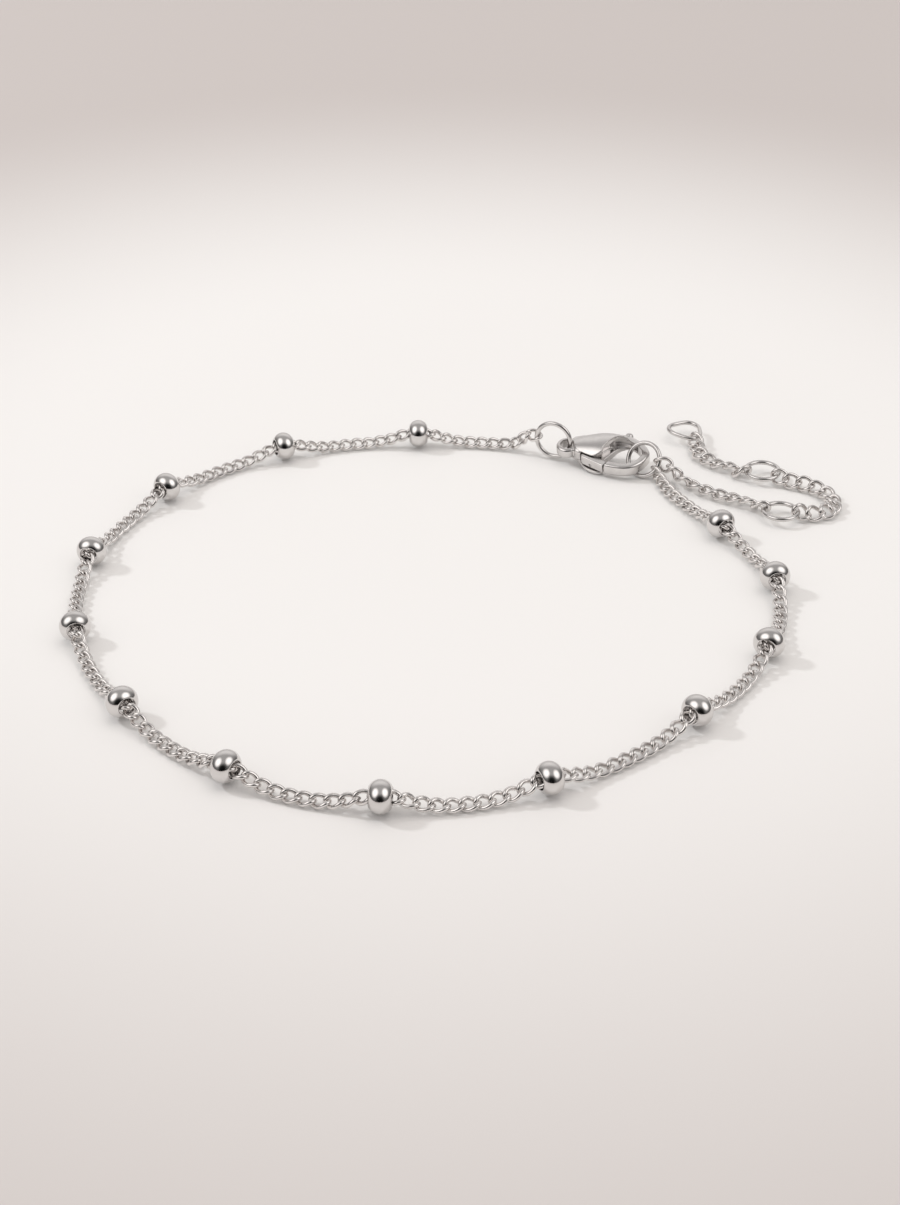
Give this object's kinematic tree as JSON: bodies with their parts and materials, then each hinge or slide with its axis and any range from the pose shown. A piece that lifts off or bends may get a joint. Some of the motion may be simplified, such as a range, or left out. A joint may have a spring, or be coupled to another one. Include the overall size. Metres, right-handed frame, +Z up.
{
  "type": "beaded chain anklet",
  "caption": "Closed anklet of fine curb chain with drilled round beads, a lobster clasp fastened on jump rings and a curb extender with rings.",
  "frame": {"origin": "middle of the anklet's bounding box, on the surface that it lies on", "axes": "+Z up from the surface; +X along the longer way across the loop, towards the extender; +Y away from the picture's viewer, towards the clasp"},
  "size_m": [0.0782, 0.0728, 0.0045],
  "materials": {
    "chain": "polished silver-coloured steel, faintly worn",
    "beads": "polished silver-coloured steel balls, drilled, thin rim at the hole",
    "rings": "polished round steel wire",
    "clasp": "cast and tumbled silver-coloured steel, soft polish"
  },
  "bodies": {
    "anklet": {"main_chain": "chain", "bead_01": "beads", "bead_02": "beads", "bead_03": "beads", "bead_04": "beads", "bead_05": "beads", "bead_06": "beads", "bead_07": "beads", "bead_08": "beads", "bead_09": "beads", "bead_10": "beads", "bead_11": "beads", "bead_12": "beads", "bead_13": "beads", "jump_ring_eye": "rings", "jump_ring_hook": "rings", "extender_ring_1": "rings", "extender_ring_2": "rings", "extender_end_ring": "rings", "extender_chain_1": "chain", "extender_chain_2": "chain", "extender_chain_3": "chain", "clasp_body": "clasp"},
    "lever": {"clasp_lever": "clasp"}
  },
  "joints": [
    {"name": "lever_hinge", "type": "hinge", "parent": "anklet", "child": "lever", "pos_m": [0.01298, 0.02672, 0.00131], "axis": [-0.08, -0.2461, 0.9659], "range_deg": [0, 25], "stiffness_Nm_per_rad": 0.003, "springref_deg": -11.46}
  ]
}
